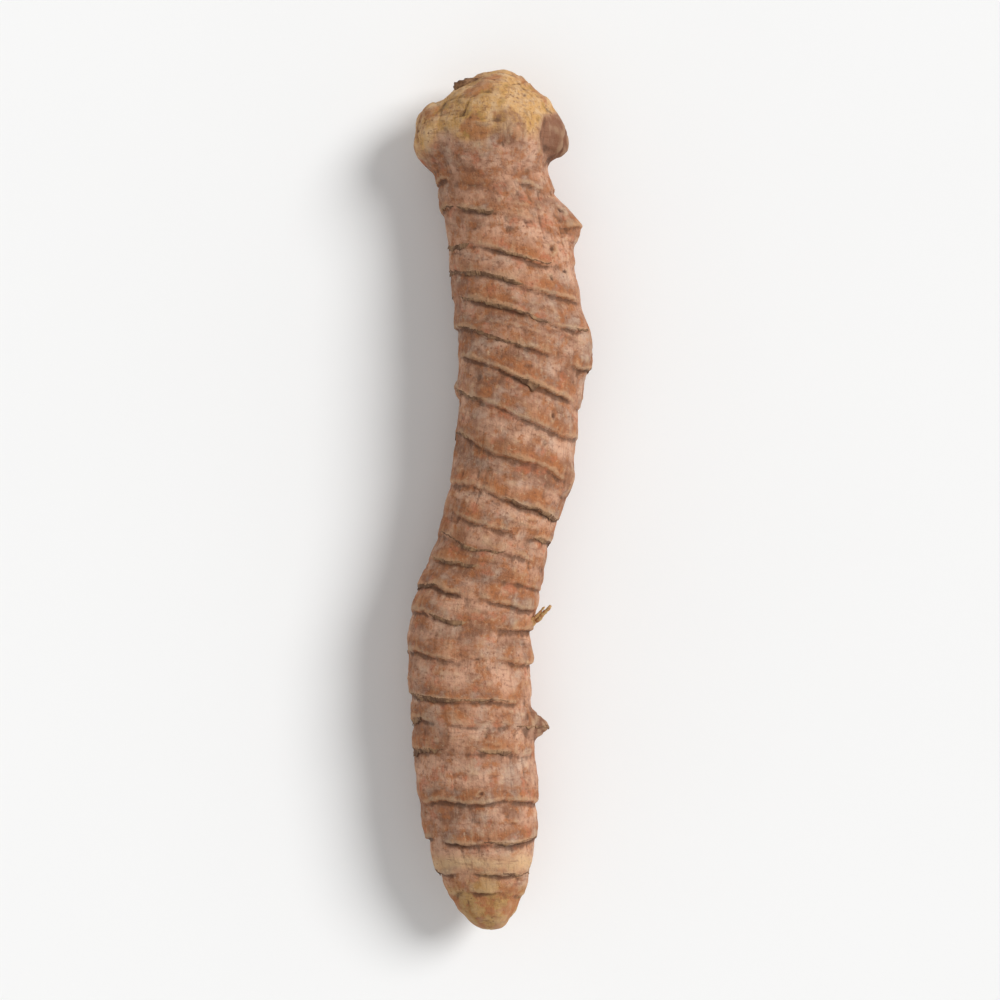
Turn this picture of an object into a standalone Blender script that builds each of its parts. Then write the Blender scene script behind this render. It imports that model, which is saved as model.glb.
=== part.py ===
"""Turmeric root: one finger of a turmeric rhizome, as picked, lying on its side.

Metres, +Z up. The finger lies along Y, with its knobbly head at +Y and its growing tip at -Y.
The origin is the middle of the footprint, on the surface that the root rests on.
"""
from math import atan2, cos, exp, pi, radians, sin, tan

import bmesh
import bpy
import numpy as np
from mathutils import Matrix, Vector

# Driving dimensions of the finger
FINGER_LENGTH = 0.0768      # from the tip to the end that is sunk in the head
FINGER_WIDTH = 0.0114       # across the middle, between the ring ridges
FINGER_HEIGHT = 0.0106      # the same, measured upwards
TIP_TAPER = 0.0160          # length over which the tip narrows
TIP_BLUNTNESS = 0.54        # 0.5 is a half ellipse, 1 is nearly a point
BEND = 0.0027               # how far the middle line swings to each side
ARCH = 0.0009               # how far the middle of the finger is lifted off the surface
REST_PRESS = 0.0002         # depth of the flats where the skin is pressed on the surface

# The head's dome, its lobes (X, Y and Z sizes) and the places of their middles from the dome's
# middle, as shares of half the dome
DOME_SIZE = Vector((0.0114, 0.0126, 0.0116))
DOME_SETBACK = 0.0006       # from the finger's sunk end to the dome's middle, towards the tip
DOME_SHIFT = 0.0004         # to +X
SIDE_LOBE_SIZE = Vector((0.0066, 0.0072, 0.0080))
SIDE_LOBE_PLACE = Vector((-0.79, 0.0, -0.17))
LOW_LOBE_SIZE = Vector((0.0072, 0.0074, 0.0070))
LOW_LOBE_PLACE = Vector((0.18, -0.32, -0.38))
NECK_MARGIN = 0.00057       # how far the finger's sunk end lies inside the dome, all round

# Buds: width at the base and length from base to point, and where each stands
SIDE_BUD = (0.0068, 0.0062)
SIDE_BUD_PLACE = Vector((0.39, 0.22, 0.0))      # its base, as the lobes
SIDE_BUD_AIM = Vector((0.80, -0.48, 0.05))
TIP_BUD = (0.0032, 0.0034)
TIP_BUD_PLACE = 0.260                           # share of the finger's length, from the tip
TIP_BUD_ANGLE = radians(5.0)                    # round from +X
UNDER_BUD = (0.0040, 0.0030)
UNDER_BUD_PLACE = 0.651
UNDER_BUD_ANGLE = radians(215.0)
BUD_LEAN = 0.25             # share of a bud's aim that points to the tip
BUD_POINTEDNESS = 0.75      # 0.5 is a half ellipse, 1 is nearly a point
BUD_ROOTING = 0.0016        # how deep a bud's base is sunk in the finger

# The finger from its tip: share of the length, shares of BEND to +X, shares of ARCH upwards,
# and the share of the full width and height there
STATIONS = (
    (0.00, -0.35, 0.6, 1.00),
    (0.10, -0.62, 0.1, 1.00),
    (0.25, -0.98, 0.0, 0.99),
    (0.38, -1.00, 0.2, 0.98),
    (0.49, -0.15, 0.9, 0.88),
    (0.60, 0.48, 1.0, 0.96),
    (0.72, 0.62, 0.6, 1.03),
    (0.84, 0.42, 0.2, 1.02),
    (0.92, -0.14, 0.0, 0.94),
    (1.00, -0.42, 0.3, (DOME_SIZE.x - 2 * NECK_MARGIN) / FINGER_WIDTH),
)
OVALNESS = 0.020            # unevenness round the finger, two swells to a turn
UNEVENNESS = 0.012          # the same, three to a turn
OVAL_TWIST = 90.0           # turn of those swells along the finger, radians a metre
UNEVEN_TWIST = -210.0

# Ring ridges left by the scale leaves: share of the finger's length, from the tip
RING_SCARS = (
    0.050, 0.075, 0.117, 0.165, 0.227, 0.259, 0.294, 0.342, 0.387, 0.416, 0.448, 0.475,
    0.504, 0.540, 0.590, 0.643, 0.685, 0.727, 0.769, 0.806, 0.843, 0.890, 0.930,
)
RIDGE_HEIGHT = 0.00022      # how far a ridge stands out
GROOVE_DEPTH = 0.00012      # how far the skin dips on the ridge's tip side
RIDGE_DROP = 0.0004         # length of the steep side, towards the tip
RIDGE_RISE = 0.0013         # length of the slow side, towards the head
RING_SLANT = radians(22.0)  # lean of the rings where they lean most
SLANT_SHARE = 0.62          # where along the finger they lean most
SLANT_SPREAD = 0.25         # how much of the finger that lean covers

# Swellings of the skin: share of the length, angle round from +X, height, reach along and around
SWELLINGS = (
    (0.757, radians(6.0), 0.0015, 0.0032),      # rounded node on the right
    (0.892, radians(4.0), 0.0025, 0.0018),      # stub of a side root above it
    (0.586, radians(10.0), 0.0006, 0.0013),
    (0.352, radians(12.0), 0.0005, 0.0012),
    (0.332, radians(178.0), 0.0003, 0.0021),
    (0.807, radians(215.0), 0.0006, 0.0034),    # hidden nodes low on the sides
    (0.208, radians(325.0), 0.0005, 0.0028),
    (0.482, radians(100.0), 0.0004, 0.0030),
)

# Fineness of the mesh
SIDES = 24                  # round the finger
BUD_SIDES = 16
LOBE_FINENESS = 4           # subdivisions of a lobe's icosphere
BUD_RINGS = 7
END_STEPS = (0.0003, 0.0009, 0.0018, 0.0029)    # rings that round the tip, before the first scar
WIDEST_GAP = 0.0017         # between two rings of vertices
MERGE_DISTANCE = 0.00002
SHARP_ANGLE = radians(50.0)

SKIN_COLOUR = (0.36, 0.16, 0.08, 1.0)
SKIN_ROUGHNESS = 0.75


def clear_scene():
    for scene_object in list(bpy.data.objects):
        bpy.data.objects.remove(scene_object, do_unlink=True)


def on_curve(stations, share):
    """Values of a table of stations at a share of the way, on a smooth curve through them."""
    index = 0
    while index < len(stations) - 2 and share > stations[index + 1][0]:
        index += 1
    before = stations[max(index - 1, 0)]
    start = stations[index]
    end = stations[index + 1]
    after = stations[min(index + 2, len(stations) - 1)]
    step = end[0] - start[0]
    part = (share - start[0]) / step
    values = []
    for column in range(1, len(start)):
        slope_in = (end[column] - before[column]) / (end[0] - before[0]) * step
        slope_out = (after[column] - start[column]) / (after[0] - start[0]) * step
        square = part * part
        cube = square * part
        values.append(
            (2 * cube - 3 * square + 1) * start[column] + (cube - 2 * square + part) * slope_in
            + (3 * square - 2 * cube) * end[column] + (cube - square) * slope_out
        )
    return values


def middle_point(distance):
    """Point of the finger's middle line at a distance from the tip, measured along Y."""
    sideways, lift, _girth = on_curve(STATIONS, distance / FINGER_LENGTH)
    return Vector((sideways * BEND, distance, FINGER_HEIGHT / 2 - REST_PRESS + lift * ARCH))


def taper(distance):
    """Share of the full girth that the rounded tip has reached."""
    share = min(distance / TIP_TAPER, 1.0)
    return (1.0 - (1.0 - share) ** 2) ** TIP_BLUNTNESS


def girth(distance, angle):
    """Share of the full width and height, with a slight unevenness round the finger."""
    uneven = OVALNESS * sin(2 * angle + OVAL_TWIST * distance)
    uneven += UNEVENNESS * sin(3 * angle + UNEVEN_TWIST * distance)
    return on_curve(STATIONS, distance / FINGER_LENGTH)[2] * taper(distance) * (1.0 + uneven)


def ridge(distance):
    """Height of the ring ridges over the plain skin, with the groove on their tip side."""
    offsets = (-2 * RIDGE_DROP, -RIDGE_DROP, 0.0, RIDGE_RISE)
    heights = (0.0, -GROOVE_DEPTH, RIDGE_HEIGHT, 0.0)
    return sum(np.interp(distance - share * FINGER_LENGTH, offsets, heights) for share in RING_SCARS)


def swelling(distance, angle):
    """Height of the swellings over the plain skin."""
    height = 0.0
    for share, direction, rise, reach in SWELLINGS:
        along = distance - share * FINGER_LENGTH
        around = atan2(sin(angle - direction), cos(angle - direction)) * FINGER_WIDTH / 2
        height += rise * exp(-(along ** 2 + around ** 2) / reach ** 2)
    return height


def slant(distance):
    """Lean of the ring of vertices at a distance from the tip."""
    offset = (distance / FINGER_LENGTH - SLANT_SHARE) / SLANT_SPREAD
    return RING_SLANT * exp(-offset * offset)


def skin_point(distance, angle):
    """Point of the finger's skin."""
    share = girth(distance, angle)
    relief = (ridge(distance) + swelling(distance, angle)) * taper(distance)
    across = cos(angle) * (share * FINGER_WIDTH / 2 + relief)
    upward = sin(angle) * (share * FINGER_HEIGHT / 2 + relief)
    lean = -across * tan(slant(distance))
    return middle_point(distance) + Vector((across, lean, upward))


def ring_distances():
    """Distances from the tip of the rings of vertices: three at each scar, more in the gaps."""
    distances = list(END_STEPS)
    for share in RING_SCARS:
        scar = share * FINGER_LENGTH
        for distance in (scar - RIDGE_DROP, scar, scar + RIDGE_RISE):
            if distance - distances[-1] > RIDGE_DROP / 2 and distance < FINGER_LENGTH:
                distances.append(distance)
    distances.append(FINGER_LENGTH)
    filled = [distances[0]]
    for distance in distances[1:]:
        gap = distance - filled[-1]
        if gap > WIDEST_GAP:
            filled.append(filled[-1] + gap / 2)
        filled.append(distance)
    return filled


def loft(mesh, rings, point):
    """Skin over rings of points, closed by a point at the first end and a flat face at the last."""
    pole = mesh.verts.new(point)
    first = rings[0]
    for here, there in zip(first, first[1:] + first[:1]):
        mesh.faces.new((pole, here, there))
    for lower, upper in zip(rings, rings[1:]):
        for side in range(len(lower)):
            follow = (side + 1) % len(lower)
            mesh.faces.new((lower[side], upper[side], upper[follow], lower[follow]))
    mesh.faces.new(rings[-1])


def to_object(mesh, name):
    bmesh.ops.recalc_face_normals(mesh, faces=mesh.faces)
    data = bpy.data.meshes.new(name)
    mesh.to_mesh(data)
    mesh.free()
    made = bpy.data.objects.new(name, data)
    bpy.context.scene.collection.objects.link(made)
    return made


def make_finger():
    mesh = bmesh.new()
    rings = []
    for distance in ring_distances():
        angles = [2 * pi * side / SIDES for side in range(SIDES)]
        rings.append([mesh.verts.new(skin_point(distance, angle)) for angle in angles])
    loft(mesh, rings, middle_point(0.0))
    return to_object(mesh, "turmeric_root")


def make_lobe(name, centre, size):
    """A rounded lobe of the head."""
    mesh = bmesh.new()
    place = Matrix.Translation(centre) @ Matrix.Diagonal((size / 2).to_4d())
    bmesh.ops.create_icosphere(mesh, subdivisions=LOBE_FINENESS, radius=1.0, matrix=place)
    return to_object(mesh, name)


def make_bud(name, base, aim, size):
    """A pointed bud that stands on its base point and aims along a direction."""
    width, length = size
    turn = Vector((0.0, 0.0, -1.0)).rotation_difference(aim).to_matrix().to_4x4()
    place = Matrix.Translation(base) @ turn
    mesh = bmesh.new()
    rings = []
    for step in range(1, BUD_RINGS + 1):
        share = step / BUD_RINGS
        radius = width / 2 * (1.0 - (1.0 - share) ** 2) ** BUD_POINTEDNESS
        ring = []
        for side in range(BUD_SIDES):
            angle = 2 * pi * side / BUD_SIDES
            point = Vector((radius * cos(angle), radius * sin(angle), (share - 1.0) * length))
            ring.append(mesh.verts.new(place @ point))
        rings.append(ring)
    loft(mesh, rings, place @ Vector((0.0, 0.0, -length)))
    return to_object(mesh, name)


def head_pieces():
    end = middle_point(FINGER_LENGTH)
    dome = Vector((end.x + DOME_SHIFT, end.y - DOME_SETBACK, DOME_SIZE.z / 2 - REST_PRESS))
    half = DOME_SIZE / 2
    return [
        make_lobe("dome", dome, DOME_SIZE),
        make_lobe("side_lobe", dome + SIDE_LOBE_PLACE * half, SIDE_LOBE_SIZE),
        make_lobe("low_lobe", dome + LOW_LOBE_PLACE * half, LOW_LOBE_SIZE),
        make_bud("side_bud", dome + SIDE_BUD_PLACE * half, SIDE_BUD_AIM, SIDE_BUD),
    ]


def finger_bud(name, share, angle, size):
    """A bud on the finger, leaning towards the tip, with its base sunk in the skin."""
    outward = Vector((cos(angle), -BUD_LEAN, sin(angle)))
    base = skin_point(share * FINGER_LENGTH, angle) - outward.normalized() * BUD_ROOTING
    return make_bud(name, base, outward, size)


def grow_together(finger, pieces):
    """One closed skin over the finger and all that grows on it."""
    for piece in pieces:
        piece.hide_render = True
        piece.display_type = "WIRE"
        union = finger.modifiers.new(piece.name, "BOOLEAN")
        union.operation = "UNION"
        union.solver = "EXACT"
        union.object = piece
    grown = bmesh.new()
    grown.from_object(finger, bpy.context.evaluated_depsgraph_get())
    finger.modifiers.clear()
    for piece in pieces:
        bpy.data.objects.remove(piece, do_unlink=True)
    return grown


def press_flats(mesh):
    """Cut off what lies under the surface, which leaves the flats that the root rests on."""
    geometry = mesh.verts[:] + mesh.edges[:] + mesh.faces[:]
    bmesh.ops.bisect_plane(mesh, geom=geometry, plane_co=(0, 0, 0), plane_no=(0, 0, -1), clear_outer=True)
    rims = [edge for edge in mesh.edges if edge.is_boundary]
    bmesh.ops.holes_fill(mesh, edges=rims, sides=0)


def centre_footprint(mesh):
    for axis in (0, 1):
        values = [vertex.co[axis] for vertex in mesh.verts]
        middle = (min(values) + max(values)) / 2
        for vertex in mesh.verts:
            vertex.co[axis] -= middle


def skin_material():
    material = bpy.data.materials.new("turmeric_skin")
    material.use_nodes = True
    shader = material.node_tree.nodes["Principled BSDF"]
    shader.inputs["Base Color"].default_value = SKIN_COLOUR
    shader.inputs["Roughness"].default_value = SKIN_ROUGHNESS
    shader.inputs["Metallic"].default_value = 0.0
    return material


def main():
    clear_scene()
    finger = make_finger()
    pieces = head_pieces()
    pieces.append(finger_bud("tip_bud", TIP_BUD_PLACE, TIP_BUD_ANGLE, TIP_BUD))
    pieces.append(finger_bud("under_bud", UNDER_BUD_PLACE, UNDER_BUD_ANGLE, UNDER_BUD))
    mesh = grow_together(finger, pieces)
    press_flats(mesh)
    bmesh.ops.remove_doubles(mesh, verts=mesh.verts, dist=MERGE_DISTANCE)
    centre_footprint(mesh)
    bmesh.ops.triangulate(mesh, faces=mesh.faces)
    mesh.to_mesh(finger.data)
    mesh.free()
    finger.data.shade_smooth()
    finger.data.set_sharp_from_angle(angle=SHARP_ANGLE)
    finger.data.materials.append(skin_material())


main()
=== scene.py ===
"""Looks of the turmeric root: the relief of its skin, its scale remnants and rootlets, and the studio.

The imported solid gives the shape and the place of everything. Its skin is remeshed finely, the ring scars,
wrinkles, root scars and scale steps are raised on it in code, and the same values stain the material.
The root lies along Y: its tip is at the low end of Y and its head at the high end.
"""
import random
from math import cos, pi, radians, sin, tan

import bmesh
import bpy
import numpy as np
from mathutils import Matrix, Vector, noise
from mathutils.bvhtree import BVHTree


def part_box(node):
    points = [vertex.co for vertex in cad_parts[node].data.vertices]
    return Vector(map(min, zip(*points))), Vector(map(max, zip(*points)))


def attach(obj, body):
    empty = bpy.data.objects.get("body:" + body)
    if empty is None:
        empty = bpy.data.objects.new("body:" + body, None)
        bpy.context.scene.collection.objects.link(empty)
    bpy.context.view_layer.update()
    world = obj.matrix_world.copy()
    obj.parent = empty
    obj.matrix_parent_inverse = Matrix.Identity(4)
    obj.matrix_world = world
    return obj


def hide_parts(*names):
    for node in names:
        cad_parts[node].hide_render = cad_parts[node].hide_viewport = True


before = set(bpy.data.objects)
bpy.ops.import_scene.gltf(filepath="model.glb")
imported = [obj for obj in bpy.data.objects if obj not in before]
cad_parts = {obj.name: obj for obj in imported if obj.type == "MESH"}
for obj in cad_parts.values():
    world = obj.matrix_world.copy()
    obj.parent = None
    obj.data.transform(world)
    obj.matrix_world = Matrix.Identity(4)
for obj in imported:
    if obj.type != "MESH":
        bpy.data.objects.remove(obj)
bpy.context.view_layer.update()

NODE = "turmeric_root"
LOW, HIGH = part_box(NODE)
LENGTH = HIGH.y - LOW.y

MM = 0.001
VOXEL = 0.21 * MM               # fineness of the skin
FACET_SMOOTHING = 10            # rounds off the solid's flat facets
RING_SMOOTHING = 80             # levels the solid's straight rings
BROAD_SMOOTHING = 36            # gives back what that took from the broad shape
KEPT_FROM, KEPT_TO = 0.16 * MM, 0.34 * MM   # buds stand out more than this, and stay
FINGER = 0.931 * LENGTH         # the finger without the end of the head, as the solid has it
SKIN_RADIUS = 5.6 * MM
FLAT_HEIGHT = 0.3 * MM          # skin below this that looks down is the resting face, kept nearly plain
FLAT_NORMAL = 0.93              # how far down it looks, 1 being straight down
HOLLOW_UNIT = 0.03 * MM         # depth that counts as 1 in the hollows
OUTSIDE = 20                    # mm from the middle line, well clear of the skin
NOISE_GAIN = 1.4                # brings Blender's noise to about -1 to 1

# Ring scars: shares of the finger from its tip, as the solid has them. A ridge stands at each scar: it
# drops steeply into a groove towards the tip, and falls off slowly towards the head.
RING_SCARS = (
    0.050, 0.075, 0.117, 0.165, 0.227, 0.259, 0.294, 0.342, 0.387, 0.416, 0.448, 0.475,
    0.504, 0.540, 0.590, 0.643, 0.685, 0.727, 0.769, 0.806, 0.843, 0.890, 0.930,
)
RING_SLANT = radians(22.0)      # where the rings lean most
SLANT_SHARE = 0.62              # share of the finger where that is
SLANT_SPREAD = 0.25
RING_WAVE = 0.42 * MM           # how far a ring wanders from its plane
RIDGE_HEIGHT = 0.17 * MM
GROOVE_DEPTH = 0.10 * MM
RIDGE_DROP = 0.26 * MM
RIDGE_RISE = 1.1 * MM
GROOVE_WIDTH = 0.13 * MM
STAIN_PLACE, STAIN_WIDTH = 0.40 * MM, 0.92 * MM     # past the scar, towards the head
CREST_PLACE, CREST_WIDTH = 0.08 * MM, 0.13 * MM
FAINT_HEIGHT = 0.07 * MM
WIDE_GAP = 2.6 * MM             # scars further apart than this have two faint rings between them
INTERNODE_SWELL = 0.10 * MM

# Head and buds, from the box's middle
CAP_START = 34.3 * MM           # the ochre cap begins here
CAP_RINGS = (1.7 * MM, 3.4 * MM, 5.3 * MM, 7.6 * MM)   # steps of the cap's scales, from its top
CAP_STEP = 0.10 * MM
BUD_STEP = 0.09 * MM
CRACK_DEPTH = 0.15 * MM
SIDE_BUD = (6.4 * MM, 34.6 * MM, 3.0 * MM)             # x, y and reach
TIP_BUD = (4.5 * MM, -21.7 * MM, 2.3 * MM)
BUD_RING_GAP = 0.95 * MM
HEAD_FROM, HEAD_TO = 31.5 * MM, 35.0 * MM              # the head's relief rises to full between these
HEAD_TRIM = 0.30 * MM           # taken off the head's top, so the relief doesn't lengthen the root
TRIM_REACH = 3.0 * MM           # and how far down from the top

# Tone along the finger: share from the tip, and how bright (1) or dark (-1) its skin is
TONES = (
    (0.00, -0.2), (0.04, 0.0), (0.09, 0.9), (0.12, 0.4), (0.15, -0.1), (0.20, 0.6),
    (0.24, -0.2), (0.28, 0.4), (0.33, 0.6), (0.37, -0.1), (0.41, 0.7), (0.45, -0.6),
    (0.50, 0.4), (0.54, 0.7), (0.58, -0.9), (0.63, 0.4), (0.68, -0.2), (0.74, -0.7),
    (0.80, 0.3), (0.85, 0.7), (0.90, 0.0), (0.94, 0.2), (1.00, 0.3),
)
TIP_FROM, TIP_TO = 2.6 * MM, 6.4 * MM   # the ochre of the tip fades out between these
PALE_BAND = 6.7 * MM            # a yellowish band this far from the tip
PALE_BAND_WIDTH = 0.65 * MM
# Darker patches on the upper side, the one at the head's lower left being painted shade of the neck: x, y,
# reach and strength
DARK_PATCHES_AND_PAINTED_SHADE = (
    (-0.4 * MM, 8.7 * MM, 2.8 * MM, 0.8),
    (5.4 * MM, 18.9 * MM, 1.7 * MM, 0.6),
    (4.3 * MM, 2.7 * MM, 2.0 * MM, 0.8),
    # painted shade: the dark lower left of the head and neck
    (-5.4 * MM, 32.4 * MM, 3.2 * MM, 1.0),
    (0.9 * MM, 35.4 * MM, 1.6 * MM, 2.6),
    (-3.2 * MM, 20.8 * MM, 2.2 * MM, 0.5),
    (-1.0 * MM, -6.4 * MM, 2.2 * MM, 0.5),
)
UPPER_SIDE = 3 * MM             # the upper side is what lies above this

# Frayed scale at the cap's corner: distance from the tip and turn of its ends, and how it stands off
FLAP_FROM = (80.3 * MM, radians(158.0))
FLAP_TO = (81.5 * MM, radians(128.0))
FLAP_REACH = 0.9 * MM
FLAP_HEADING = Vector((-0.92, 0.30, 0.15))
FLAP_STEPS = 22
FLAP_SHEET = 0.06 * MM

# Torn strips of the scales along the ring scars
STRIP_COUNTS = (2, 3, 3, 4)     # how many a scar may have
STRIP_SPAN = (0.3, 1.7)         # radians
STRIP_WIDTH = (0.25, 0.85)      # mm
STRIP_STEP = 0.13 * MM
STRIP_SHEET = 0.045 * MM
FLOOR_GAP = 0.03 * MM           # a strip stays this far above the floor

# Root fibres at the right edge: distance from the first one's place, turn, length, radius and lean
FIBRES_PLACE = 0.395 * FINGER
FIBRES = (
    (0.0, radians(14.0), 2.9 * MM, 0.33 * MM, (0.1, 1.0, 0.0)),
    (0.3 * MM, radians(20.0), 2.1 * MM, 0.20 * MM, (0.1, 0.7, 0.3)),
    (-0.4 * MM, radians(8.0), 1.5 * MM, 0.15 * MM, (0.2, 1.6, -0.2)),
)
FINE_ROOTLETS = 9
ROOTLET_STEP = 0.22 * MM
ROOTLET_DEPTH = 0.25 * MM       # how deep a rootlet starts under the skin

# Root scars
SCAR_COUNT = 22
SCAR_RADIUS = (0.28 * MM, 0.50 * MM)
SCAR_RIM = 0.07 * MM
SCAR_PIT = 0.14 * MM

# Studio
HORIZON = 0.934
ZENITH = 0.34
FADE_FROM, FADE_TO = 0.12, 0.65     # the sky dims between these upward parts of a direction
KEY_HEADING, KEY_SOFTNESS, KEY_STRENGTH = (0.72, 0.34, 0.70), radians(26.0), 2.60
FILL_HEADING, FILL_SOFTNESS, FILL_STRENGTH = (-0.30, -0.45, 1.0), radians(60.0), 0.35
FLOOR_RADIUS = 6.0
FLOOR_TONES = (0.88, 0.88, 0.875), (0.86, 0.86, 0.855)
FLOOR_CLOUDS = 40 * MM
LENS = 135.0
ROOT_SHARE = 0.86               # of the picture's height

# Colours, linear
PINK_SKIN = (0.56, 0.310, 0.200)
BROWN_SKIN = (0.225, 0.100, 0.054)
RING_ORANGE = (0.36, 0.128, 0.043)
RUST_RED = (0.43, 0.135, 0.062)
RED_BROWN = (0.165, 0.060, 0.028)
# dark brown of the grooves, cracks, pits and husk streaks, and of the painted shade in the hollows
GROOVE_AND_SHADE_BROWN = (0.062, 0.027, 0.015)
BLOOM_GREY = (0.50, 0.360, 0.270)
OCHRE = (0.54, 0.290, 0.095)
OLIVE_OCHRE = (0.38, 0.215, 0.060)
PALE_TAN = (0.60, 0.415, 0.25)
HUSK_BROWN = (0.15, 0.072, 0.036)
HUSK_TAN = (0.33, 0.185, 0.092)
ROOTLET_TAN = (0.50, 0.32, 0.12)


# ---------------------------------------------------------------- mesh arrays

def mesh_points(mesh):
    points = np.empty(len(mesh.vertices) * 3)
    mesh.vertices.foreach_get("co", points)
    return points.reshape(-1, 3)


def mesh_normals(mesh):
    normals = np.empty(len(mesh.vertices) * 3)
    mesh.vertex_normals.foreach_get("vector", normals)
    return normals.reshape(-1, 3)


def mesh_edges(mesh):
    edges = np.empty(len(mesh.edges) * 2, dtype=np.int64)
    mesh.edges.foreach_get("vertices", edges)
    return edges.reshape(-1, 2)


def set_points(mesh, points):
    mesh.vertices.foreach_set("co", points.ravel())
    mesh.update()


class Spread:
    """Takes the mean of each vertex's neighbours."""

    def __init__(self, edges, count):
        self.count = count
        self.links = np.concatenate([edges, edges[:, ::-1]])
        self.total = np.bincount(self.links[:, 0], minlength=count)

    def mean(self, values):
        columns = values.reshape(self.count, -1).T
        ends, starts = self.links[:, 0], self.links[:, 1]
        sums = [np.bincount(ends, weights=column[starts], minlength=self.count) for column in columns]
        return np.stack([column / self.total for column in sums], axis=1).reshape(values.shape)

    def smooth(self, values, steps):
        for _ in range(steps):
            values = values + 0.5 * (self.mean(values) - values)
        return values


def noise_at(points, size, seed):
    """Smooth noise from about -1 to 1 with lumps of about a size."""
    shift = np.array((13.7, 7.1, 3.9)) * (seed + 1)
    return np.array([noise.noise(cell) for cell in (points / size + shift).tolist()]) * NOISE_GAIN


def ring_table(seed, lumps):
    """Noise round a ring, as angles and values for np.interp."""
    turns = np.linspace(-pi, pi, 361)
    places = [(cos(turn) * lumps, sin(turn) * lumps, 5.3 * seed + 0.7) for turn in turns]
    return turns, np.array([noise.noise(place) * NOISE_GAIN for place in places])


def bell(values, middle, width):
    """1 at the middle, falling off smoothly to both sides."""
    return np.exp(-((values - middle) / width) ** 2)


def creases(values, width):
    """Thin lines where a noise crosses zero."""
    return bell(values, 0.0, width)


def step_up(values, start, end):
    """0 before the start, 1 past the end, and smooth between."""
    share = np.clip((values - start) / (end - start), 0.0, 1.0)
    return share * share * (3.0 - 2.0 * share)


# ---------------------------------------------------------------- the skin's own coordinates

class MiddleLine:
    """The middle of the root at even steps along it, with its half width and half height there."""

    STEPS = 166
    SLICE = 0.6 * MM
    REACH = 9                   # steps to each side that a value is smoothed over
    SOFTNESS = 4.0

    def __init__(self, points):
        rows = []
        for level in np.linspace(LOW.y, HIGH.y, self.STEPS):
            near = points[np.abs(points[:, 1] - level) < self.SLICE]
            lowest, highest = near.min(axis=0), near.max(axis=0)
            middle, half = (lowest + highest) / 2, (highest - lowest) / 2
            rows.append((level, middle[0], middle[2], half[0], half[2]))
        rows = np.array(rows)
        reach = np.arange(-self.REACH, self.REACH + 1)
        kernel = np.exp(-(reach / self.SOFTNESS) ** 2)
        kernel /= kernel.sum()
        for column in range(1, 5):
            padded = np.pad(rows[:, column], self.REACH, mode="edge")
            rows[:, column] = np.convolve(padded, kernel, mode="valid")
        self.levels = rows[:, 0]
        self.columns = rows[:, 1:]

    def at(self, level):
        """Middle x, middle z, half width and half height at a level."""
        return [np.interp(level, self.levels, self.columns[:, column]) for column in range(4)]


def slant(along):
    """How much the rings lean at a distance from the tip."""
    offset = (along / FINGER - SLANT_SHARE) / SLANT_SPREAD
    return RING_SLANT * np.exp(-offset * offset)


def skin_coordinates(points, line):
    """Distance from the tip along the rings' slant, turn round from +X, and the place in the grain.

    The place in the grain is the step to +X and the step up from the middle line, and that distance.
    """
    middle_x, middle_z, wide, high = line.at(points[:, 1])
    across = points[:, 0] - middle_x
    turn = np.arctan2((points[:, 2] - middle_z) / high, across / wide)
    level = points[:, 1] - LOW.y
    along = level + across * np.tan(slant(level))
    along = level + across * np.tan(slant(along))
    return along, turn, np.stack([across, points[:, 2] - middle_z, along], axis=1)


class SkinFinder:
    """Finds the skin point at a distance from the tip and a turn round from +X."""

    def __init__(self, mesh, line):
        points = mesh_points(mesh)
        faces = [tuple(polygon.vertices) for polygon in mesh.polygons]
        self.tree = BVHTree.FromPolygons([Vector(point) for point in points.tolist()], faces)
        self.line = line

    def find(self, along, turn):
        level = along + LOW.y
        for _ in range(3):
            middle_x, middle_z, wide, high = (float(value) for value in self.line.at(level))
            level = along + LOW.y - wide * cos(turn) * tan(float(slant(along)))
        outward = Vector((wide * cos(turn), 0.0, high * sin(turn))).normalized()
        far = Vector((middle_x, level, middle_z)) + outward * OUTSIDE * MM
        place, normal, _, _ = self.tree.ray_cast(far, -outward)
        return place, normal


# ---------------------------------------------------------------- relief

def ring_relief(along, turn):
    """Height of the ring scars, and how strongly each point is stained, in a groove or on a crest."""
    dice = random.Random(11)
    height = np.zeros(len(along))
    stain = np.zeros(len(along))
    groove = np.zeros(len(along))
    crest = np.zeros(len(along))
    groove_share = -GROOVE_DEPTH / RIDGE_HEIGHT
    for number, share in enumerate(RING_SCARS):
        uneven = 0.66 + 1.35 * np.interp(turn, *ring_table(number + 80, 1.6))
        strength = dice.uniform(0.60, 1.20) * np.clip(uneven, 0.06, 1.35)
        past = along - share * FINGER - ring_wave(number, turn)
        behind = np.exp(-np.clip(past, 0.0, None) / RIDGE_RISE)
        before = np.interp(past, (-4 * RIDGE_DROP, -RIDGE_DROP, 0.0), (0.0, groove_share, 1.0))
        height += strength * RIDGE_HEIGHT * np.where(past > 0.0, behind, before)
        stain = np.maximum(stain, (0.25 + 0.75 * strength) * bell(past, STAIN_PLACE, STAIN_WIDTH))
        groove = np.maximum(groove, strength * bell(past, -0.8 * RIDGE_DROP, GROOVE_WIDTH))
        crest = np.maximum(crest, strength * bell(past, CREST_PLACE, CREST_WIDTH))
    return height, stain, groove, crest


def ring_wave(number, turn):
    """How far a ring lies from its plane at a turn."""
    wave = np.interp(turn, *ring_table(number, 1.1)) * RING_WAVE
    wave = wave + np.interp(turn, *ring_table(number + 40, 4.0)) * RING_WAVE * 0.30
    return wave + np.interp(turn, *ring_table(number + 160, 14.0)) * RING_WAVE * 0.16


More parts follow.
